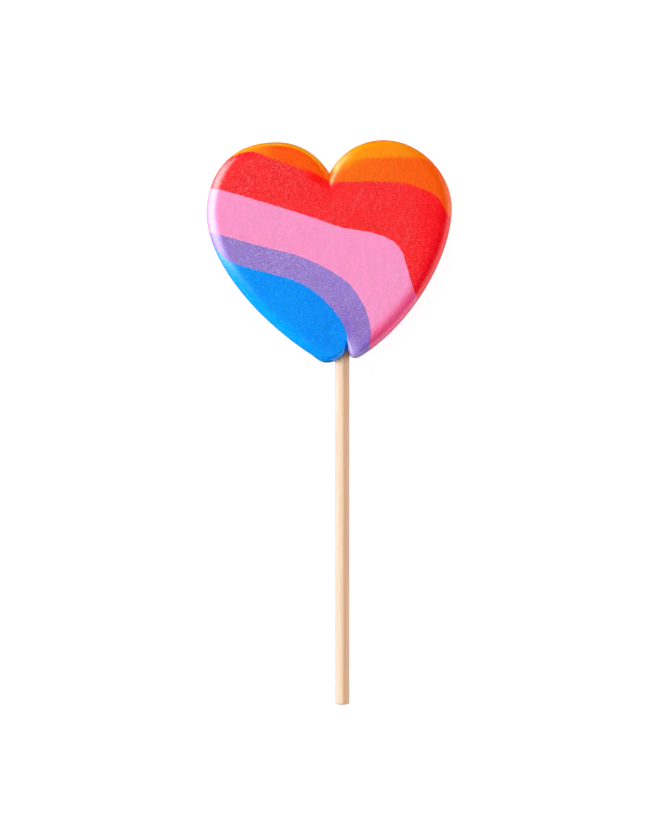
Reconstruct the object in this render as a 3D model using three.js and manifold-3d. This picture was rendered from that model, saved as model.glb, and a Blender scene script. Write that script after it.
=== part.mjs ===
// A heart-shaped rainbow lollipop on a round wooden stick.
//
// The sweet is pulled sugar: six coloured layers lie side by side and run straight through its
// thickness. Two rounded pads of it are pressed together into a heart, so that a crease is left
// in the cleft between the lobes and another one in the notch at the tip, where the stick comes out.
//
// Millimetres. The lollipop lies on its flat back with its face up (+Z). The lobes point to +Y and
// the stick to -Y. The origin is on the surface that it lies on, under the middle of its box.

import * as THREE from 'three';
import { mergeVertices } from 'three/addons/utils/BufferGeometryUtils.js';
import Module from 'manifold-3d';

// Sizes of the sweet.
const THICKNESS = 11;
const LEFT_SHOULDER = 4.4; // width of the rounded edge on the left side, seen from the front
const RIGHT_SHOULDER = 5.2; // the same on the right side
const LOBE_SHOULDER = 2.5; // the same on top of the lobes
const CLEFT_SHOULDER = 3.2; // the same in the cleft between them
const FLANK_SHOULDER = 4.4; // the same on the lower flanks
const CORNER_SHOULDER = 2.8; // the same where the flanks turn into the tips
const TIP_SHOULDER = 1.8; // the same at the two small tips
const NOTCH_SHOULDER = 1.6; // the same in the notch between the tips
const EDGE_POWER = 0.8; // 1 makes the edge's section an ellipse, and less makes it squarer
const GAP = 0.3; // between neighbouring layers, and between the layers and the stick

// Sizes of the stick, a dowel that ends inside the sweet.
const STICK_DIAMETER = 4.4;
const STICK_LENGTH = 150;
const STICK_CHAMFER = 0.3;
const STICK_END_Y = -84.6; // its free end
const STICK_X = 3.9; // it sits right of the middle, in the notch

// How finely round forms are broken into facets.
const OUTLINE_STEP = 2.6; // longest piece of an outline
const OUTLINE_TURN = 9; // degrees that one piece may turn
const EDGE_STEPS = 10; // facets over the rounded edge, from back to face
const BORDER_STEP = 2; // longest piece of the border between two layers
const STICK_SIDES = 32;

// Outlines of the two pads, anticlockwise. A knot has a place, a heading in degrees, the lengths of
// the curve's handles before and after it, and the width of the shoulder there.
const CLEFT = { x: 0.1, y: 74.7, shoulder: CLEFT_SHOULDER };
const NOTCH = { x: 5.3, y: 21.9, shoulder: NOTCH_SHOULDER };
const HALF_WIDTH = 36.75;
const LOBE_TOP = 84.6; // the right lobe stands a little higher than the left one
const INNER_HANDLE = 20; // of the stretch from notch to cleft, which lies inside the other pad

const LEFT_PAD = [
  { ...CLEFT, heading: 123, before: INNER_HANDLE, after: 8 },
  { x: -15.9, y: 83.95, heading: 180, before: 6.2, after: 17.4, shoulder: LOBE_SHOULDER },
  { x: -HALF_WIDTH, y: 63, heading: 270, before: 6.6, after: 13.6, shoulder: LEFT_SHOULDER },
  { x: -12.05, y: 25.15, heading: 322, before: 15.3, after: 2.7, shoulder: FLANK_SHOULDER },
  { x: -5.8, y: 20.7, heading: 327.5, before: 2.4, after: 2.3, shoulder: CORNER_SHOULDER },
  { x: -0.7, y: 18, heading: 360, before: 2.2, after: 2.6, shoulder: TIP_SHOULDER },
  { ...NOTCH, heading: 430, before: 2.4, after: INNER_HANDLE },
  { ...CLEFT, heading: 483, before: INNER_HANDLE, after: 8 },
];

const RIGHT_PAD = [
  { ...NOTCH, heading: -70, before: INNER_HANDLE, after: 1.2 },
  { x: 7.7, y: 19.4, heading: -4, before: 1.4, after: 1.2, shoulder: TIP_SHOULDER },
  { x: 11.1, y: 21, heading: 34, before: 1.2, after: 2.55, shoulder: CORNER_SHOULDER },
  { x: 17.25, y: 25.9, heading: 42.8, before: 2.7, after: 15.2, shoulder: FLANK_SHOULDER },
  { x: HALF_WIDTH, y: 64.4, heading: 90, before: 12.3, after: 9.3, shoulder: RIGHT_SHOULDER },
  { x: 16.1, y: LOBE_TOP, heading: 180, before: 12, after: 5.5, shoulder: LOBE_SHOULDER },
  { ...CLEFT, heading: 243, before: 8, after: INNER_HANDLE },
  { ...NOTCH, heading: 290, before: INNER_HANDLE, after: 1.2 },
];

// Borders between neighbouring layers, as points from the left rim to the right one. The blue core
// is at the lower left, and each further layer arches over the one before. The ends lie outside.
const BLUE_TO_PURPLE = [
  [-36.6, 55.8], [-30.3, 48.4], [-17.7, 44.4], [-9.3, 41.8],
  [-2.3, 37.2], [3.7, 30.1], [5.6, 23.5], [4.6, 14],
];
const PURPLE_TO_PINK = [
  [-40.4, 58.2], [-24.3, 53.6], [-9, 49.5], [-1.1, 46],
  [6, 41.2], [10.9, 33.4], [12.3, 25.7], [10.5, 14],
];
const PINK_TO_RED = [
  [-39, 70.4], [-29.7, 68.6], [-7.9, 62], [2.9, 58.3], [7.2, 57.5],
  [16.2, 55.4], [21.4, 51.2], [24.9, 40.4], [28.9, 32],
];
const RED_TO_ORANGE = [
  [-42, 70], [-29.7, 78.9], [-22.8, 80.6], [-17.5, 78.8], [-7, 74.9], [0.4, 71],
  [3, 71.6], [20.6, 71.5], [31, 67.9], [35.1, 62.6], [40, 54.9],
];
const ORANGE_TO_AMBER = [
  [0, 90], [0.6, 78], [2.2, 75.6], [6, 77.4], [10, 78.6], [18, 78.8], [26, 78.8], [40, 77],
];
const OUTSIDE = 60; // how far out the blocks reach that divide the layers

const wasm = await Module();
wasm.setup();

// A closed three.js geometry as a solid.
function toSolid(geometry) {
  const bare = geometry.clone();
  bare.deleteAttribute('normal');
  bare.deleteAttribute('uv');
  const merged = mergeVertices(bare, 1e-4);
  return new wasm.Manifold(
    new wasm.Mesh({
      numProp: 3,
      vertProperties: Float32Array.from(merged.attributes.position.array),
      triVerts: Uint32Array.from(merged.index.array),
    }),
  );
}

// A solid as a named mesh in its own colour.
function toMesh(name, solid, finish) {
  const { vertProperties, triVerts } = solid.getMesh();
  const geometry = new THREE.BufferGeometry();
  geometry.setAttribute('position', new THREE.Float32BufferAttribute(vertProperties, 3));
  geometry.setIndex(Array.from(triVerts));
  geometry.computeVertexNormals();
  const mesh = new THREE.Mesh(geometry, new THREE.MeshStandardMaterial({ metalness: 0, ...finish }));
  mesh.name = name;
  return mesh;
}

// The point at some distance from a knot along its heading.
function handleEnd(knot, distance) {
  const angle = THREE.MathUtils.degToRad(knot.heading);
  return new THREE.Vector2(knot.x + distance * Math.cos(angle), knot.y + distance * Math.sin(angle));
}

// Points of a closed outline, each with its inward normal and its width of shoulder.
function outlinePoints(knots) {
  return knots.slice(1).flatMap((to, i) => {
    const from = knots[i];
    const curve = new THREE.CubicBezierCurve(
      new THREE.Vector2(from.x, from.y),
      handleEnd(from, from.after),
      handleEnd(to, -to.before),
      new THREE.Vector2(to.x, to.y),
    );
    const turns = (to.heading - from.heading) / OUTLINE_TURN;
    const steps = Math.ceil(Math.max(curve.getLength() / OUTLINE_STEP, turns));
    return Array.from({ length: steps }, (_, step) => {
      const along = step / steps;
      const tangent = curve.getTangentAt(along);
      const blend = THREE.MathUtils.smoothstep(along, 0, 1);
      return {
        place: curve.getPointAt(along),
        inward: new THREE.Vector2(-tangent.y, tangent.x),
        shoulder: THREE.MathUtils.lerp(from.shoulder, to.shoulder, blend),
      };
    });
  });
}

// One pad of sugar: rings of points climb the rounded edge, from the flat back to the flat face.
function padSolid(knots) {
  const outline = outlinePoints(knots);
  const count = outline.length;
  const positions = [];
  for (let ring = 0; ring <= EDGE_STEPS; ring += 1) {
    const angle = Math.PI * (ring / EDGE_STEPS - 0.5);
    const rise = Math.sign(angle) * Math.abs(Math.sin(angle)) ** EDGE_POWER;
    const height = (THICKNESS / 2) * (1 + rise);
    const inset = 1 - Math.cos(angle) ** EDGE_POWER;
    outline.forEach(({ place, inward, shoulder }) => {
      const point = place.clone().addScaledVector(inward, shoulder * inset);
      positions.push(point.x, point.y, height);
    });
  }

  const triangles = [];
  for (let ring = 0; ring < EDGE_STEPS; ring += 1) {
    for (let i = 0; i < count; i += 1) {
      const here = ring * count + i;
      const next = ring * count + ((i + 1) % count);
      triangles.push(here, next, next + count, here, next + count, here + count);
    }
  }
  const innerRing = outline.map(({ place, inward, shoulder }) => (
    place.clone().addScaledVector(inward, shoulder)
  ));
  const face = EDGE_STEPS * count;
  THREE.ShapeUtils.triangulateShape(innerRing, []).forEach(([a, b, c]) => {
    triangles.push(face + a, face + b, face + c, a, c, b);
  });

  const geometry = new THREE.BufferGeometry();
  geometry.setAttribute('position', new THREE.Float32BufferAttribute(positions, 3));
  geometry.setIndex(triangles);
  return toSolid(geometry);
}

// A block that holds everything below a border, its edge moved sideways by an offset.
function blockBelow(border, offset) {
  const curve = new THREE.SplineCurve(border.map(([x, y]) => new THREE.Vector2(x, y)));
  const steps = Math.ceil(curve.getLength() / BORDER_STEP);
  const edge = Array.from({ length: steps + 1 }, (_, step) => {
    const tangent = curve.getTangentAt(step / steps);
    return curve.getPointAt(step / steps).addScaledVector(new THREE.Vector2(-tangent.y, tangent.x), offset);
  });
  const corners = [
    new THREE.Vector2(OUTSIDE, edge.at(-1).y),
    new THREE.Vector2(OUTSIDE, -OUTSIDE),
    new THREE.Vector2(-OUTSIDE, -OUTSIDE),
    new THREE.Vector2(-OUTSIDE, edge[0].y),
  ];
  const block = new THREE.ExtrudeGeometry(new THREE.Shape([...edge, ...corners]), {
    depth: THICKNESS + 2 * GAP,
    bevelEnabled: false,
  });
  return toSolid(block.translate(0, 0, -GAP));
}

// The dowel's round form, with a small chamfer at both ends, standing on the origin along +Y.
function dowel(radius, length, chamfer) {
  const profile = [
    [0, 0], [radius - chamfer, 0], [radius, chamfer],
    [radius, length - chamfer], [radius - chamfer, length], [0, length],
  ];
  return new THREE.LatheGeometry(profile.map(([x, y]) => new THREE.Vector2(x, y)), STICK_SIDES);
}

const lollipop = new THREE.Group();

const stick = toMesh('stick', toSolid(dowel(STICK_DIAMETER / 2, STICK_LENGTH, STICK_CHAMFER)), {
  color: 0xf1dcc0,
  roughness: 0.75,
});
stick.position.set(STICK_X, STICK_END_Y, THICKNESS / 2);
lollipop.add(stick);

const bore = toSolid(dowel(STICK_DIAMETER / 2 + GAP, STICK_LENGTH + GAP, STICK_CHAMFER))
  .translate([STICK_X, STICK_END_Y, THICKNESS / 2]);
const heart = padSolid(LEFT_PAD).add(padSolid(RIGHT_PAD)).subtract(bore);

const LAYERS = [
  { name: 'layer_blue', color: 0x0394fa, border: BLUE_TO_PURPLE },
  { name: 'layer_purple', color: 0x9a7ecb, border: PURPLE_TO_PINK },
  { name: 'layer_pink', color: 0xfc96c5, border: PINK_TO_RED },
  { name: 'layer_red', color: 0xf83234, border: RED_TO_ORANGE },
  { name: 'layer_orange', color: 0xfa671a, border: ORANGE_TO_AMBER },
  { name: 'layer_amber', color: 0xfe9104 },
];

let rest = heart;
LAYERS.forEach(({ name, color, border }) => {
  const layer = border ? rest.intersect(blockBelow(border, -GAP / 2)) : rest;
  if (border) {
    rest = rest.subtract(blockBelow(border, GAP / 2));
  }
  lollipop.add(toMesh(name, layer, { color, roughness: 0.35 }));
});

export default lollipop;
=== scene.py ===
"""Looks of a heart-shaped rainbow lollipop on a wooden stick, for Blender 4.5.

The sweet's coloured layers are melted together, so one piece of pulled sugar stands for all of them.
It keeps the outline, the rounded edge and the creases of the solids. Its colours come from the
signed distance to each border between two layers, which every point of its surface carries.
Lengths are in millimetres until a mesh or the camera is made, and then in metres, as the frame's
are. Noise and the lights go by metres throughout.
"""
import math

import bpy
import numpy as np
from mathutils import Matrix, Vector, noise


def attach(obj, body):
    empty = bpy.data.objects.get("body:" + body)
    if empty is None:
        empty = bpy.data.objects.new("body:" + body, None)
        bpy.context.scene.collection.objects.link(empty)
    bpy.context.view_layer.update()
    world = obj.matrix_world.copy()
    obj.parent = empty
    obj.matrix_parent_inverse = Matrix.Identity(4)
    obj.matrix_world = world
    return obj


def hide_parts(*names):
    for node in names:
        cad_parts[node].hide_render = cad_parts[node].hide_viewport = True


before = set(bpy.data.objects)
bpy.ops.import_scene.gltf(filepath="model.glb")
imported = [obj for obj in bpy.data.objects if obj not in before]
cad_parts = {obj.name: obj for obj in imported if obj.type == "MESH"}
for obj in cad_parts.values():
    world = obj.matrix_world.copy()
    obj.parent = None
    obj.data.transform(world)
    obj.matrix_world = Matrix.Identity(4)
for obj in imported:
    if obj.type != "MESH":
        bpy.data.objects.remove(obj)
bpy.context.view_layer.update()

MM = 0.001

# ---- Sizes of the sweet and the stick ---------------------------------------------------------

THICKNESS = 11.0
LEFT_SHOULDER = 4.4  # width of the rounded edge on the left side, seen from the front
RIGHT_SHOULDER = 5.2  # the same on the right side
LOBE_SHOULDER = 2.5  # the same on top of the lobes
CLEFT_SHOULDER = 3.2  # the same in the cleft between them
FLANK_SHOULDER = 4.4  # the same on the lower flanks
CORNER_SHOULDER = 2.8  # the same where the flanks turn into the tips
TIP_SHOULDER = 1.8  # the same at the two small tips
NOTCH_SHOULDER = 1.6  # the same in the notch between the tips
EDGE_POWER = 0.8  # 1 makes the edge's section an ellipse, and less makes it squarer

STICK_RADIUS = 2.2
STICK_LENGTH = 150.0
STICK_CHAMFER = 0.3  # at the end inside the sweet
STICK_WORN_END = [(0, 0), (0.7, 0.04), (1.3, 0.13), (1.8, 0.27), (2.1, 0.4), (2.18, 0.5)]  # radius, y
STICK_END_Y = -84.6
STICK_X = 3.9
STICK_CLEARANCE = 0.08  # sugar grips the wood all but without a gap

OUTLINE_STEP = 0.7  # spacing of the points along an outline
OUTLINE_TURN = 3.0  # degrees that the outline may turn between two points
EDGE_STEPS = 28  # rings over the rounded edge, from back to face
FACE_RINGS = 34  # rings from the shoulder to the middle of a face
STICK_SIDES = 96
STICK_STEPS = 120  # along the straight part of the stick
SUGAR_CREASE = 40  # degrees past which an edge between two faces stays sharp
STICK_CREASE = 30  # the same on the stick

# Knots of the two pads' outlines, anticlockwise: x, y, heading, handle before, handle after, shoulder.
CLEFT = (0.1, 74.7)
NOTCH = (5.3, 21.9)
HALF_WIDTH = 36.75
INNER_HANDLE = 20.0  # of the stretch from notch to cleft, which lies inside the other pad
LEFT_PAD = [
    (*CLEFT, 123, INNER_HANDLE, 8, CLEFT_SHOULDER),
    (-15.9, 83.95, 180, 6.2, 17.4, LOBE_SHOULDER),
    (-HALF_WIDTH, 63, 270, 6.6, 13.6, LEFT_SHOULDER),
    (-12.05, 25.15, 322, 15.3, 2.7, FLANK_SHOULDER),
    (-5.8, 20.7, 327.5, 2.4, 2.3, CORNER_SHOULDER),
    (-0.7, 18, 360, 2.2, 2.6, TIP_SHOULDER),
    (*NOTCH, 430, 2.4, INNER_HANDLE, NOTCH_SHOULDER),
    (*CLEFT, 483, INNER_HANDLE, 8, CLEFT_SHOULDER),
]
RIGHT_PAD = [
    (*NOTCH, -70, INNER_HANDLE, 1.2, NOTCH_SHOULDER),
    (7.7, 19.4, -4, 1.4, 1.2, TIP_SHOULDER),
    (11.1, 21, 34, 1.2, 2.55, CORNER_SHOULDER),
    (17.25, 25.9, 42.8, 2.7, 15.2, FLANK_SHOULDER),
    (HALF_WIDTH, 64.4, 90, 12.3, 9.3, RIGHT_SHOULDER),
    (16.1, 84.6, 180, 12, 5.5, LOBE_SHOULDER),
    (*CLEFT, 243, 8, INNER_HANDLE, CLEFT_SHOULDER),
    (*NOTCH, 290, INNER_HANDLE, 1.2, NOTCH_SHOULDER),
]

# Borders between neighbouring layers, from the left rim to the right one, as in the solids.
BORDERS = {
    "blue_purple": [
        (-36.6, 55.8), (-30.3, 48.4), (-17.7, 44.4), (-9.3, 41.8),
        (-2.3, 37.2), (3.7, 30.1), (5.6, 23.5), (4.6, 14),
    ],
    "purple_pink": [
        (-40.4, 58.2), (-24.3, 53.6), (-9, 49.5), (-1.1, 46),
        (6, 41.2), (10.9, 33.4), (12.3, 25.7), (10.5, 14),
    ],
    "pink_red": [
        (-39, 70.4), (-29.7, 68.6), (-7.9, 62), (2.9, 58.3), (7.2, 57.5),
        (16.2, 55.4), (21.4, 51.2), (24.9, 40.4), (28.9, 32),
    ],
    "red_orange": [
        (-42, 70), (-29.7, 78.9), (-22.8, 80.6), (-17.5, 78.8), (-7, 74.9), (0.4, 71),
        (3, 71.6), (20.6, 71.5), (31, 67.9), (35.1, 62.6), (40, 54.9),
    ],
    "orange_amber": [
        (0, 90), (0.6, 78), (2.2, 75.6), (6, 77.4), (10, 78.6), (18, 78.8), (26, 78.8), (40, 77),
    ],
}

# ---- Curves -------------------------------------------------------------------------------------


def even_samples(points, count):
    """count + 1 points at even spacing along a finely sampled curve."""
    lengths = np.r_[0, np.cumsum(np.linalg.norm(np.diff(points, axis=0), axis=1))]
    targets = np.linspace(0, lengths[-1], count + 1)
    return np.column_stack([np.interp(targets, lengths, points[:, axis]) for axis in (0, 1)])


def bezier(start, end, count=400):
    """Fine points of the curve from one outline knot to the next."""
    t = np.linspace(0, 1, count)[:, None]
    corners = []
    for (x, y, heading, before, after, _), reach in ((start, 1), (end, -1)):
        distance = after if reach > 0 else -before
        angle = math.radians(heading)
        corners.append((x, y))
        corners.append((x + distance * math.cos(angle), y + distance * math.sin(angle)))
    first, first_handle, last, last_handle = np.array(corners)
    s = 1 - t
    return s**3 * first + 3 * s**2 * t * first_handle + 3 * s * t**2 * last_handle + t**3 * last


def outline_points(knots):
    """Points of a closed outline, with their inward normals and shoulder widths."""
    places, shoulders = [], []
    for start, end in zip(knots, knots[1:]):
        fine = bezier(start, end)
        length = np.linalg.norm(np.diff(fine, axis=0), axis=1).sum()
        steps = math.ceil(max(length / OUTLINE_STEP, (end[2] - start[2]) / OUTLINE_TURN))
        along = np.arange(steps) / steps
        places.append(even_samples(fine, steps)[:-1])
        shoulders.append(start[5] + (end[5] - start[5]) * along**2 * (3 - 2 * along))
    places = np.vstack(places)
    tangents = np.roll(places, -1, axis=0) - np.roll(places, 1, axis=0)
    tangents /= np.linalg.norm(tangents, axis=1)[:, None]
    inward = np.column_stack([-tangents[:, 1], tangents[:, 0]])
    return places, inward, np.concatenate(shoulders)


def catmull_rom(points, per_piece=24):
    """A smooth curve through the points."""
    points = np.array(points, float)
    padded = np.vstack([points[:1], points, points[-1:]])
    t = np.linspace(0, 1, per_piece, endpoint=False)[:, None]
    pieces = []
    for p0, p1, p2, p3 in zip(padded, padded[1:], padded[2:], padded[3:]):
        leave, arrive = (p2 - p0) / 2, (p3 - p1) / 2
        cubic = 2 * p1 - 2 * p2 + leave + arrive
        square = -3 * p1 + 3 * p2 - 2 * leave - arrive
        pieces.append(cubic * t**3 + square * t**2 + leave * t + p1)
    return np.vstack(pieces + [points[-1:]])


CHUNK = 2000  # places that are measured at once, which keeps the arrays small


def signed_distance(places, curve):
    """Distance of each place to a curve, positive on the curve's left side."""
    starts, steps = curve[:-1], np.diff(curve, axis=0)
    squares = (steps**2).sum(axis=1)
    result = np.empty(len(places))
    for first in range(0, len(places), CHUNK):
        chunk = places[first:first + CHUNK, None, :] - starts
        along = np.clip((chunk * steps).sum(axis=2) / squares, 0, 1)
        offset = chunk - along[..., None] * steps
        distance = np.linalg.norm(offset, axis=2)
        nearest = distance.argmin(axis=1)
        rows = np.arange(len(nearest))
        step, away = steps[nearest], offset[rows, nearest]
        side = np.sign(step[:, 0] * away[:, 1] - step[:, 1] * away[:, 0])
        result[first:first + CHUNK] = side * distance[rows, nearest]
    return result


# ---- Mesh pieces --------------------------------------------------------------------------------


def mesh_object(name, vertices, faces):
    """A new object from vertices in millimetres."""
    mesh = bpy.data.meshes.new(name)
    mesh.from_pydata((np.array(vertices) * MM).tolist(), [], faces)
    mesh.validate()
    piece = bpy.data.objects.new(name, mesh)
    bpy.context.scene.collection.objects.link(piece)
    return piece


def ring_faces(rings, count):
    """Quads between neighbouring rings of count points each."""
    faces = []
    for ring in range(rings - 1):
        for i in range(count):
            here, after = ring * count + i, ring * count + (i + 1) % count
            faces.append((here, after, after + count, here + count))
    return faces


def closed_form(name, rings, low, high):
    """A new object of rings with as many points each, closed to a point at either end."""
    count = len(rings[0])
    faces = ring_faces(len(rings), count)
    last = (len(rings) - 1) * count
    low_end = len(rings) * count
    high_end = low_end + 1
    for i in range(count):
        after = (i + 1) % count
        faces.append((low_end, after, i))
        faces.append((high_end, last + i, last + after))
    return mesh_object(name, np.vstack([*rings, [low, high]]), faces)


def shade_smooth(piece, crease):
    """Shades the piece smooth, except at edges that turn by more than crease degrees."""
    piece.data.shade_smooth()
    piece.data.set_sharp_from_angle(angle=math.radians(crease))


def pad(name, knots):
    """One pad of sugar: rings run from the middle of the back over the edge to the middle of the face."""
    places, inward, shoulders = outline_points(knots)
    count = len(places)
    rings = []
    for step in range(EDGE_STEPS + 1):
        angle = math.pi * (step / EDGE_STEPS - 0.5)
        height = THICKNESS / 2 * (1 + math.copysign(abs(math.sin(angle)) ** EDGE_POWER, angle))
        inset = shoulders * (1 - abs(math.cos(angle)) ** EDGE_POWER)
        rings.append(np.column_stack([places + inward * inset[:, None], np.full(count, height)]))
    inner = rings[0][:, :2]
    middle = inner.mean(axis=0)
    shrinks = [1 - step / FACE_RINGS for step in range(1, FACE_RINGS)]
    flat = [middle + (inner - middle) * shrink for shrink in shrinks]
    back = [np.column_stack([ring, np.zeros(count)]) for ring in reversed(flat)]
    face = [np.column_stack([ring, np.full(count, THICKNESS)]) for ring in flat]
    return closed_form(name, back + rings + face, [*middle, 0], [*middle, THICKNESS])


def turned(name, profile):
    """A closed round form where the stick is, from its profile of (radius, y) along the stick's axis.

    The profile starts and ends on the axis.
    """
    angles = np.linspace(0, 2 * math.pi, STICK_SIDES, endpoint=False)
    circle = np.column_stack([np.sin(angles), np.zeros(STICK_SIDES), np.cos(angles)])
    rings = [circle * radius + [0, y, 0] for radius, y in profile[1:-1]]
    piece = closed_form(name, rings, [0, profile[0][1], 0], [0, profile[-1][1], 0])
    piece.data.transform(Matrix.Translation((STICK_X * MM, STICK_END_Y * MM, THICKNESS / 2 * MM)))
    return piece


def combine(target, tool, operation):
    """Joins the tool to the target or cuts it out, and removes the tool."""
    modifier = target.modifiers.new(operation, "BOOLEAN")
    modifier.operation = operation
    modifier.solver = "MANIFOLD"
    modifier.object = tool
    bpy.context.view_layer.update()
    evaluated = target.evaluated_get(bpy.context.evaluated_depsgraph_get())
    mesh = bpy.data.meshes.new_from_object(evaluated)
    target.modifiers.clear()
    old = target.data
    target.data = mesh
    bpy.data.meshes.remove(old)
    bpy.data.objects.remove(tool)


def coordinates(mesh):
    """The mesh's vertices in millimetres."""
    flat = np.empty(len(mesh.vertices) * 3)
    mesh.vertices.foreach_get("co", flat)
    return flat.reshape(-1, 3) / MM


def set_coordinates(mesh, places):
    mesh.vertices.foreach_set("co", (places * MM).ravel())
    mesh.update()


def set_attribute(mesh, name, values):
    attribute = mesh.attributes.new(name, "FLOAT", "POINT")
    attribute.data.foreach_set("value", np.asarray(values, np.float32))


# ---- Nodes --------------------------------------------------------------------------------------


def linear(red, green, blue):
    """A colour given as 0 to 255 on screen, as Blender's linear values."""
    values = [channel / 255 for channel in (red, green, blue)]
    return (*[v / 12.92 if v <= 0.04045 else ((v + 0.055) / 1.055) ** 2.4 for v in values], 1)


class Shader:
    """The nodes of a material or world. An input is a socket to link, or a value to set."""

    def __init__(self, owner, surface="Principled BSDF"):
        owner.use_nodes = True
        self.tree = owner.node_tree
        self.surface = self.tree.nodes[surface]

    def node(self, kind, inputs, output=0, **settings):
        node = self.tree.nodes.new("ShaderNode" + kind)
        for key, value in settings.items():
            setattr(node, key, value)
        self.fill(node, inputs)
        return node.outputs[output]

    def fill(self, node, inputs):
        for key, value in inputs.items():
            if isinstance(value, bpy.types.NodeSocket):
                self.tree.links.new(value, node.inputs[key])
            else:
                node.inputs[key].default_value = value

    def math(self, operation, *values):
        return self.node("Math", dict(enumerate(values)), operation=operation)

    def product(self, first, *others):
        for other in others:
            first = self.math("MULTIPLY", first, other)
        return first

    def position(self):
        return self.node("TexCoord", {}, output="Object")

    def split(self, vector):
        """The x, y and z of a vector."""
        return self.node("SeparateXYZ", {"Vector": vector}).node.outputs[:]

    def millimetres(self, position):
        """The x, y and z of a position, in millimetres."""
        return self.split(self.vector("MULTIPLY", position, (1 / MM, 1 / MM, 1 / MM)))

    def vector(self, operation, *values, output=0):
        return self.node("VectorMath", dict(enumerate(values)), output, operation=operation)

    def attribute(self, name):
        return self.node("Attribute", {}, output="Fac", attribute_name=name)

    def noise(self, vector, scale, detail=2.0, roughness=0.5):
        inputs = {"Vector": vector, "Scale": scale, "Detail": detail, "Roughness": roughness}
        return self.node("TexNoise", inputs, output="Fac")

    def ramp(self, value, low, high, to_low=0.0, to_high=1.0, smooth=True):
        """Maps low..high to to_low..to_high."""
        inputs = {"Value": value, "From Min": low, "From Max": high, "To Min": to_low, "To Max": to_high}
        kind = "SMOOTHSTEP" if smooth else "LINEAR"
        return self.node("MapRange", inputs, interpolation_type=kind, clamp=True)

    def mix(self, factor, below, above):
        """Blends two colours. 0, 6, 7 and 2 are the colour sockets of the Mix node."""
        return self.node("Mix", {0: factor, 6: below, 7: above}, output=2, data_type="RGBA")

    def distance_to_line(self, position, start, end):
        """How far a position lies sideways from the line between two places in millimetres."""
        step = Vector(end) - Vector(start)
        flat = self.vector("MULTIPLY", position, (1 / MM, 1 / MM, 0))
        offset = self.vector("SUBTRACT", flat, (*start, 0))
        along = self.vector("DOT_PRODUCT", offset, (*(step / step.length_squared), 0), output=1)
        nearest = self.vector("MULTIPLY", (*step, 0), self.ramp(along, 0.0, 1.0, smooth=False))
        away = self.vector("SUBTRACT", offset, nearest)
        return self.vector("LENGTH", away, output=1)

    def bump(self, height, distance, strength=1.0, normal=None):
        inputs = {"Height": height, "Distance": distance, "Strength": strength}
        if normal is not None:
            inputs["Normal"] = normal
        return self.node("Bump", inputs)


# ---- Pulled sugar -------------------------------------------------------------------------------


SWELL_HEIGHT = 0.07
BROAD_SWELL = 9.0  # size of the swells
NARROW_SWELL = 3.5
NARROW_SHIFT = Vector((40, 0, 0))  # sets the narrow swells apart from the broad ones


def uneven(places):
    """Lets the upper half swell and sink a little, as hand-pressed sugar does."""
    swell = np.empty(len(places))
    for i, place in enumerate(map(Vector, places)):
        broad = noise.noise(place / BROAD_SWELL)
        narrow = noise.noise(place / NARROW_SWELL + NARROW_SHIFT)
        swell[i] = broad + 0.5 * narrow
    lift = np.clip(2 * places[:, 2] / THICKNESS - 1, 0, 1)
    result = places.copy()
    result[:, 2] += SWELL_HEIGHT * lift * swell
    return result


def make_candy():
    """Both pads as one piece, bored for the stick, which knows where its layers and its outline are."""
    candy = pad("pulled_sugar", LEFT_PAD)
    combine(candy, pad("right_pad", RIGHT_PAD), "UNION")
    bore_radius = STICK_RADIUS + STICK_CLEARANCE
    bore_end = STICK_LENGTH + STICK_CLEARANCE
    bore = turned("bore", [(0, 0), (bore_radius, 0), (bore_radius, bore_end), (0, bore_end)])
    combine(candy, bore, "DIFFERENCE")
    places = coordinates(candy.data)
    for name, border in BORDERS.items():
        set_attribute(candy.data, name, signed_distance(places[:, :2], catmull_rom(border)))
    depths = [
        signed_distance(places[:, :2], np.vstack([outline, outline[:1]]))
        for outline in (outline_points(LEFT_PAD)[0], outline_points(RIGHT_PAD)[0])
    ]
    set_attribute(candy.data, "depth", np.maximum(*depths))
    set_coordinates(candy.data, uneven(places))
    shade_smooth(candy, SUGAR_CREASE)
    return candy


# Each layer's colour on the flat faces and on the rounded edge, and how much grain shows in it.
# Where an edge colour is deeper (purple, pink, red) it is painted shade of the shoulder turned from
# the light, and where it is paler (blue, amber) it is painted light. The shade functions below vary
# the colours over the sweet.
LAYERS = {
    "blue": ((0, 152, 247), (0, 167, 253), 0.42),
    "purple": ((159, 133, 209), (146, 116, 206), 0.9),
    "pink": ((252, 156, 203), (250, 90, 146), 0.2),
    "red": ((252, 45, 49), (255, 12, 34), 0.85),
    "orange": ((252, 112, 18), (252, 112, 18), 0.22),
    "amber": ((254, 145, 3), (255, 150, 8), 0.15),
}
# How far two layers run into each other on either side of their border, in millimetres.
BORDER_BLUR = {
    "blue_purple": 0.15,
    "purple_pink": 0.12,
    "pink_red": 0.08,
    "red_orange": 0.14,
    "orange_amber": 0.45,
}

# Light scratches and rubbed places, and two painted highlights broken into pale dots: start, end,
# half width in millimetres, and strength.
SCRATCHES_AND_GLINTS = [
    ((9.8, 69.8), (6.6, 62.6), 0.5, 0.55),
    ((10.4, 70.2), (8.6, 66.4), 0.4, 0.35),
    ((2.6, 29.5), (-0.2, 26.3), 0.4, 0.8),
    ((14.0, 48.8), (16.8, 47.6), 0.3, 0.45),
    ((16.8, 47.6), (18.8, 45.5), 0.3, 0.45),
    ((19.9, 44.6), (20.6, 43.9), 0.5, 0.5),
    ((-15.8, 38.5), (-15.0, 37.6), 0.4, 0.7),
    # The last two are painted highlights: on the shoulder right of the cleft, and on the red's left rim.
    ((0.2, 71.6), (2.6, 76.8), 1.1, 0.55),
    ((-34.4, 71.8), (-30.4, 77.4), 1.4, 0.5),
]
DULL_LINE = ((0.2, 71.6), (4.4, 79.0))  # on the shoulder right of the cleft


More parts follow.
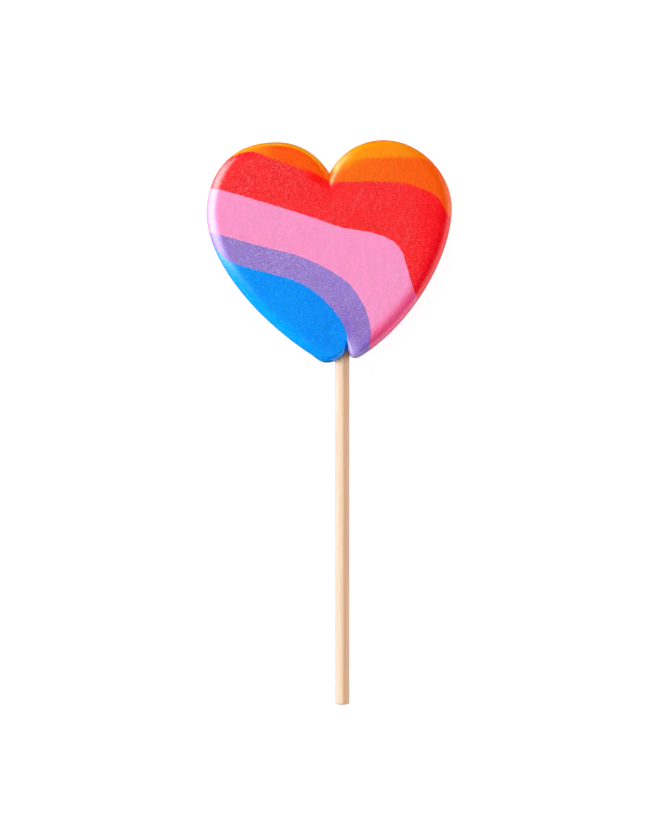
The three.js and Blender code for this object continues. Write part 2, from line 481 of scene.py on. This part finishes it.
class Sugar(Shader):
    """The nodes of the sugar, with the places that its shades go by, in millimetres."""

    def __init__(self, material):
        super().__init__(material)
        self.place = self.position()  # in metres, for noise
        self.across, self.along, self.height = self.millimetres(self.place)
        self.depth = self.attribute("depth")  # inwards from the outline
        wander = self.ramp(self.noise(self.place, 450.0, 4.0), 0.2, 0.8, -0.2, 0.2, smooth=False)
        self.borders = {name: self.math("ADD", self.attribute(name), wander) for name in BORDERS}
        self.shares = self.border_shares()

    def border_shares(self):
        """How far the layer beyond each border has taken over from the one before it, 0 to 1."""
        shares = {name: self.ramp(self.borders[name], -blur, blur) for name, blur in BORDER_BLUR.items()}

        # On the left of its lobe amber passes into orange over a few millimetres.
        soft = self.ramp(self.borders["orange_amber"], -2.6, 1.2)
        shares["orange_amber"] = self.mix(self.ramp(self.across, 5, 13), soft, shares["orange_amber"])
        return shares

    def layered(self, values):
        """The value or colour of whichever layer a point lies in, from those of all the layers."""
        below, *others = values
        for share, above in zip(self.shares.values(), others):
            below = self.mix(share, below, above)
        return below

    def tint(self, shades, layer, factor, colour):
        shades[layer] = self.mix(factor, shades[layer], linear(*colour))


def shade_blue_and_purple(sugar, faces, edges):
    """Both deepen towards the stick, and purple's edge is palest at its tip, a painted highlight."""
    deeper = sugar.ramp(sugar.across, -14, 3)
    sugar.tint(faces, "blue", deeper, (0, 144, 244))
    sugar.tint(edges, "blue", deeper, (0, 152, 248))
    sugar.tint(faces, "purple", sugar.ramp(sugar.along, 32, 38, 1.0, 0.0), (155, 127, 204))
    # Painted highlight: the purple edge turns pale lavender on the tip's lit shoulder.
    low = sugar.ramp(sugar.along, 20, 28, 1.0, 0.0)
    tip = sugar.product(low, sugar.ramp(sugar.across, 6.5, 11, 1.0, 0.0))
    sugar.tint(edges, "purple", tip, (188, 172, 234))


def shade_pink_and_red(sugar, faces, edges):
    """Pink's edge is palest at the left rim. Red is deeper on the right, painted shade, and has a thread of
    orange on its rim.
    """
    sugar.tint(edges, "pink", sugar.ramp(sugar.across, -30, -10, 1.0, 0.0), (252, 146, 198))
    # Painted shade: red deepens on the right, the side turned from the light.
    sugar.tint(faces, "red", sugar.ramp(sugar.across, 23, 31), (250, 18, 30))
    rim = sugar.ramp(sugar.depth, 0.2, 0.5, 0.9, 0.0)
    upper_half = sugar.ramp(sugar.height, 4.5, 6)
    beside_orange = sugar.ramp(sugar.along, 73, 76.5)
    sugar.tint(edges, "red", sugar.product(rim, upper_half, beside_orange), (244, 150, 40))


def shade_orange(sugar, faces, edges):
    """Left lobe: orange is yellower at the rim, painted light, with a thin painted shade line inside."""
    left_lobe = sugar.ramp(sugar.across, -3, 0, 1.0, 0.0)
    # Painted light: yellower at the left end of the lobe and along its rim.
    painted_glow_left = sugar.ramp(sugar.across, -27, -14, 0.9, 0.0)
    painted_rim_glow = sugar.ramp(sugar.depth, 1.25, 1.75, 0.95, 0.0)
    painted_glow = sugar.product(left_lobe, sugar.math("MAXIMUM", painted_glow_left, painted_rim_glow))
    yellow = sugar.mix(sugar.ramp(sugar.across, -18, -8), linear(254, 166, 30), linear(255, 156, 20))
    # Painted shade: a thin darker line inside the painted light.
    from_line = sugar.math("ABSOLUTE", sugar.math("SUBTRACT", sugar.depth, 2.1))
    line = sugar.product(left_lobe, sugar.ramp(from_line, 0.1, 0.6, 0.4, 0.0))
    for shades in (faces, edges):
        sugar.tint(shades, "orange", sugar.ramp(sugar.across, 4, 30), (251, 96, 12))
        sugar.tint(shades, "orange", left_lobe, (253, 92, 1))
        sugar.tint(shades, "orange", line, (246, 72, 3))
        shades["orange"] = sugar.mix(painted_glow, shades["orange"], yellow)


def shade_amber(sugar, faces, edges):
    """Amber is yellower on the left and redder on the right."""
    left = sugar.ramp(sugar.across, 4, 18, 1.0, 0.0)
    right = sugar.ramp(sugar.across, 18, 30)
    sugar.tint(faces, "amber", left, (252, 160, 12))
    sugar.tint(faces, "amber", right, (250, 122, 4))
    sugar.tint(edges, "amber", left, (253, 158, 6))
    sugar.tint(edges, "amber", right, (252, 128, 8))


def layer_colours(sugar):
    """The colour of the layers, which passes from that of the edge to that of the face."""
    faces = {name: linear(*face) for name, (face, _, _) in LAYERS.items()}
    edges = {name: linear(*edge) for name, (_, edge, _) in LAYERS.items()}
    for shade in (shade_blue_and_purple, shade_pink_and_red, shade_orange, shade_amber):
        shade(sugar, faces, edges)
    # The edge's painted shade reaches further in on the right, which is turned from the light.
    inside = sugar.product(sugar.depth, sugar.ramp(sugar.across, -10, 10, 1.0, 0.8))
    edge = sugar.ramp(inside, 1.6, 4.4, 1.0, 0.0)
    return sugar.mix(edge, sugar.layered(faces.values()), sugar.layered(edges.values()))


def painted_cleft_shade(sugar):
    """Painted shade where the red is deeper: along the orange, left of the cleft."""
    off_centre = sugar.math("ABSOLUTE", sugar.math("ADD", sugar.borders["red_orange"], 0.5))
    from_left = sugar.ramp(sugar.across, -9, -4.5)
    to_cleft = sugar.ramp(sugar.across, -0.4, 0.3, 1.0, 0.0)
    return sugar.product(sugar.ramp(off_centre, 0.8, 1.6, 1.0, 0.0), from_left, to_cleft)


def grain_amount(sugar, cleft_shade):
    """How much of the grain shows: in patches, most on the left, partly as painted glints, least in the
    painted cleft shade.
    """
    amount = sugar.layered([(grain, grain, grain, 1) for _, _, grain in LAYERS.values()])
    patches = sugar.ramp(sugar.noise(sugar.place, 110.0, 2.0), 0.35, 0.65, 0.55, 1.0)
    leftward = sugar.ramp(sugar.across, -16, 8, 1.0, 0.55)
    return sugar.product(amount, patches, leftward, sugar.math("SUBTRACT", 1.0, cleft_shade))


def grained(sugar, colour, grain, amount):
    """The colour with paler specks, of air and of painted glints, which also mark the scratches, and darker
    ones.
    """
    pale = sugar.product(sugar.ramp(grain, 0.56, 0.66), amount)
    dark = sugar.product(sugar.ramp(grain, 0.36, 0.46, 1.0, 0.0), amount)
    dots = sugar.ramp(sugar.noise(sugar.place, 1700.0, 1.0), 0.46, 0.6)
    for start, end, width, strength in SCRATCHES_AND_GLINTS:
        away = sugar.distance_to_line(sugar.place, start, end)
        scratch_or_glint = sugar.product(sugar.ramp(away, 0.0, width, strength, 0.0), dots)
        pale = sugar.math("MAXIMUM", pale, scratch_or_glint)
    paler = sugar.node("Gamma", {"Color": colour, "Gamma": 0.33})
    darker = sugar.vector("MULTIPLY", colour, (0.6, 0.4, 0.65))
    return sugar.mix(dark, sugar.mix(pale, colour, paler), darker)


def sugar_roughness(sugar, grain):
    """The shoulder right of the cleft is duller than the rest."""
    dull = sugar.ramp(sugar.distance_to_line(sugar.place, *DULL_LINE), 0.5, 3.0, 0.2, 0.0)
    return sugar.math("ADD", sugar.ramp(grain, 0.3, 0.7, 0.2, 0.3), dull)


def sugar_bump(sugar, grain, amount):
    """The grain felt on the surface, and fine pits in it."""
    grainy = sugar.bump(grain, 0.2 * MM, sugar.ramp(amount, 0.3, 0.9, 0.08, 0.45))
    pits = sugar.node("TexVoronoi", {"Vector": sugar.place, "Scale": 900.0}, output="Distance")
    return sugar.bump(sugar.ramp(pits, 0.05, 0.35), 0.1 * MM, sugar.product(amount, 0.5), grainy)


def sugar_material():
    material = bpy.data.materials.new("pulled_sugar")
    sugar = Sugar(material)
    # Painted shade of the cleft: the red deepens to this colour there.
    cleft_shade = painted_cleft_shade(sugar)
    colour = sugar.mix(cleft_shade, layer_colours(sugar), linear(246, 1, 3))
    streaks = sugar.noise(sugar.vector("MULTIPLY", sugar.place, (1.0, 0.4, 1.0)), 600.0, 3.0)
    colour = sugar.vector("MULTIPLY", colour, sugar.ramp(streaks, 0.3, 0.7, 0.975, 1.025))
    grain = sugar.noise(sugar.place, 2600.0, 3.0, 0.7)
    amount = grain_amount(sugar, cleft_shade)
    sugar.fill(sugar.surface, {
        "Base Color": grained(sugar, colour, grain, amount),
        "Roughness": sugar_roughness(sugar, grain),
        "Subsurface Weight": 0.75,
        "Subsurface Radius": sugar.vector("MULTIPLY", colour, colour),
        "Subsurface Scale": 2.7 * MM,
        "Specular IOR Level": 0.5,
        "Normal": sugar_bump(sugar, grain, amount),
    })
    return material


# ---- Stick --------------------------------------------------------------------------------------


def make_stick():
    """The dowel. Its free end is worn slightly round."""
    first, last = STICK_WORN_END[-1][1] + 0.1, STICK_LENGTH - STICK_CHAMFER
    shaft = [(STICK_RADIUS, y) for y in np.linspace(first, last, STICK_STEPS + 1)]
    inner_end = [(STICK_RADIUS - STICK_CHAMFER, STICK_LENGTH), (1, STICK_LENGTH), (0, STICK_LENGTH)]
    stick = turned("wooden_stick", STICK_WORN_END + shaft + inner_end)
    shade_smooth(stick, STICK_CREASE)
    return stick


def wood_material():
    material = bpy.data.materials.new("birch")
    shader = Shader(material)
    position = shader.position()
    across, along, _ = shader.millimetres(position)
    broad = shader.noise(shader.vector("MULTIPLY", position, (1.0, 0.03, 1.0)), 900.0, 3.0)
    fibres = shader.noise(shader.vector("MULTIPLY", position, (1.0, 0.012, 1.0)), 4200.0, 4.0, 0.6)
    colour = shader.mix(shader.ramp(broad, 0.3, 0.7), linear(236, 206, 188), linear(230, 196, 176))

    # Across the stick the tone is painted to follow the light from the left: warmer from the middle
    # on, a darker stripe right of the middle, which wavers with the grain, as painted core shadow,
    # and the wood ruddier beside it as painted shade. Both long edges are darker, painted shade, and
    # the cut end is darker.
    middle = shader.ramp(broad, 0.3, 0.7, STICK_X - 0.1, STICK_X + 0.1)
    across = shader.math("SUBTRACT", across, middle)
    colour = shader.mix(shader.ramp(across, -1.3, -0.1), colour, linear(236, 209, 180))
    colour = shader.mix(shader.ramp(across, 0.15, 0.65, 0.0, 0.75), colour, linear(228, 184, 153))
    from_core_shadow = shader.math("ABSOLUTE", shader.math("SUBTRACT", across, 0.65))
    colour = shader.mix(shader.ramp(from_core_shadow, 0.15, 0.55, 0.5, 0.0), colour, linear(226, 168, 126))
    colour = shader.mix(shader.ramp(fibres, 0.5, 0.7, 0.0, 0.45), colour, linear(208, 164, 130))
    shaded_sides = shader.ramp(shader.math("ABSOLUTE", across), 1.5, 2.1, 0.0, 0.6)
    colour = shader.mix(shaded_sides, colour, linear(196, 160, 138))
    cut = shader.ramp(along, STICK_END_Y + 0.15, STICK_END_Y + 0.8, 0.6, 0.0)
    colour = shader.mix(cut, colour, linear(176, 128, 92))

    # Painted shadow of the sweet on the wood, darker where the stick enters it.
    painted_shadow_at_sweet = shader.ramp(along, 17.0, 21.0, 0.0, 0.5)
    colour = shader.mix(painted_shadow_at_sweet, colour, linear(190, 130, 90))
    shader.fill(shader.surface, {
        "Base Color": colour,
        "Roughness": shader.ramp(fibres, 0.3, 0.7, 0.55, 0.75),
        "Specular IOR Level": 0.15,
        "Subsurface Weight": 0.25,
        "Subsurface Radius": (1.0, 0.6, 0.4),
        "Subsurface Scale": 1.2 * MM,
        "Normal": shader.bump(fibres, 0.08 * MM, 0.5),
    })
    return material


# ---- Stage --------------------------------------------------------------------------------------

FRAME_HEIGHT = 838  # pixels
PIXEL = 0.3  # millimetres at the middle of the sweet's thickness
VIEW_CENTRE = (-2.0, 1.1)
CAMERA_DISTANCE = 650.0
SENSOR = 24.0
FLOOR_GLOW = 0.9
STAGE_RADIUS = 4000.0
STAGE_SIDES = 48


def add_camera():
    """It looks straight down, so that the sweet is as large as in the photograph's frame."""
    data = bpy.data.cameras.new("camera")
    data.sensor_fit = "VERTICAL"
    data.sensor_height = SENSOR
    data.lens = SENSOR * CAMERA_DISTANCE / (FRAME_HEIGHT * PIXEL)
    data.clip_start = 0.01
    data.clip_end = 20
    camera = bpy.data.objects.new("camera", data)
    camera.location = Vector((*VIEW_CENTRE, THICKNESS / 2 + CAMERA_DISTANCE)) * MM
    bpy.context.scene.collection.objects.link(camera)
    bpy.context.scene.camera = camera


def floor_material():
    material = bpy.data.materials.new("pale_floor")
    shader = Shader(material)
    shader.fill(shader.surface, {
        "Base Color": (0.2, 0.2, 0.2, 1),
        "Roughness": 0.9,
        "Specular IOR Level": 0.1,
        "Emission Color": (1, 1, 1, 1),
        "Emission Strength": FLOOR_GLOW,
    })
    return material


def add_stage():
    """A white light table, whose own glow keeps the sweet's shadow faint, and a wall behind it."""
    material = floor_material()
    angles = np.linspace(0, 2 * math.pi, STAGE_SIDES, endpoint=False)
    rim = STAGE_RADIUS * np.column_stack([np.cos(angles), np.sin(angles), np.zeros(STAGE_SIDES)])
    wall_rings = np.vstack([rim, rim + [0, 0, 2 * STAGE_RADIUS]])
    floor = mesh_object("floor", rim, [range(STAGE_SIDES)])
    wall = mesh_object("wall", wall_rings, ring_faces(2, STAGE_SIDES))
    wall.visible_diffuse = False
    for piece in (floor, wall):
        piece.data.materials.append(material)
        piece.visible_glossy = False


# Soft boxes that light the colours of the sugar: name, place, size in metres, and power in watts.
LIGHTS = [
    ("main", (-2.17, 0.02, 1.25), (1.6, 1.0), 74.0),
    ("fill", (1.93, 0.02, 0.52), (1.6, 0.8), 21.5),
    ("back", (0.3, 2.2, 0.9), (1.6, 0.8), 20.0),
    ("overhead", (0.0, 0.02, 1.2), (1.5, 1.5), 5.8),
]
LIT_PLACE = Vector((0, 0.02, 0.005))  # what they point at, in the sweet

# Boxes that only reflections see: azimuth, its inner and outer half width in degrees, the sines of
# the elevations between which the box fades in and of those between which it fades out, and brightness.
REFLECTED_BOXES = [
    (168, 28, 40, -0.95, 0.3, 0.66, 0.955, 13.5),
    (-15, 25, 52, -0.95, -0.6, -0.2, 0.4, 1.2),
]


def add_light(name, place, size, power):
    """A soft box which adds no sheen, as if it were polarised."""
    data = bpy.data.lights.new(name, "AREA")
    data.shape = "RECTANGLE"
    data.size, data.size_y = size
    data.energy = power
    light = bpy.data.objects.new(name, data)
    light.visible_glossy = False
    light.location = place
    light.rotation_euler = (LIT_PLACE - Vector(place)).to_track_quat("-Z", "Y").to_euler()
    bpy.context.scene.collection.objects.link(light)


def studio_world():
    """A dark room. Only reflections see the boxes in it, which stand round the light table."""
    world = bpy.context.scene.world = bpy.data.worlds.new("studio")
    shader = Shader(world, "Background")
    direction = shader.node("TexCoord", {}, output="Generated")
    height = shader.split(direction)[2]
    level = shader.vector("NORMALIZE", shader.vector("MULTIPLY", direction, (1, 1, 0)))
    total = 0.0
    for azimuth, inner, outer, low, full, fading, high, brightness in REFLECTED_BOXES:
        towards = (math.cos(math.radians(azimuth)), math.sin(math.radians(azimuth)), 0)
        nearness = shader.vector("DOT_PRODUCT", level, towards, output=1)
        wide = shader.ramp(nearness, math.cos(math.radians(outer)), math.cos(math.radians(inner)))
        tall = shader.product(shader.ramp(height, low, full), shader.ramp(height, fading, high, 1.0, 0.0))
        total = shader.math("MULTIPLY_ADD", shader.product(wide, tall), brightness, total)
    shader.fill(shader.surface, {"Color": (1, 1, 1, 1), "Strength": total})
    world.cycles_visibility.diffuse = False
    world.cycles.sampling_method = "NONE"


def add_lights():
    for light in LIGHTS:
        add_light(*light)
    studio_world()
    bpy.context.scene.view_settings.view_transform = "Standard"


# ---- Assembly -----------------------------------------------------------------------------------

candy = make_candy()
candy.data.materials.clear()
candy.data.materials.append(sugar_material())
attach(candy, "root")
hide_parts(*[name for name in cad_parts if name.startswith("layer_")])

stick = make_stick()
stick.data.materials.append(wood_material())
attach(stick, "root")
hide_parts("stick")

add_stage()
add_camera()
add_lights()
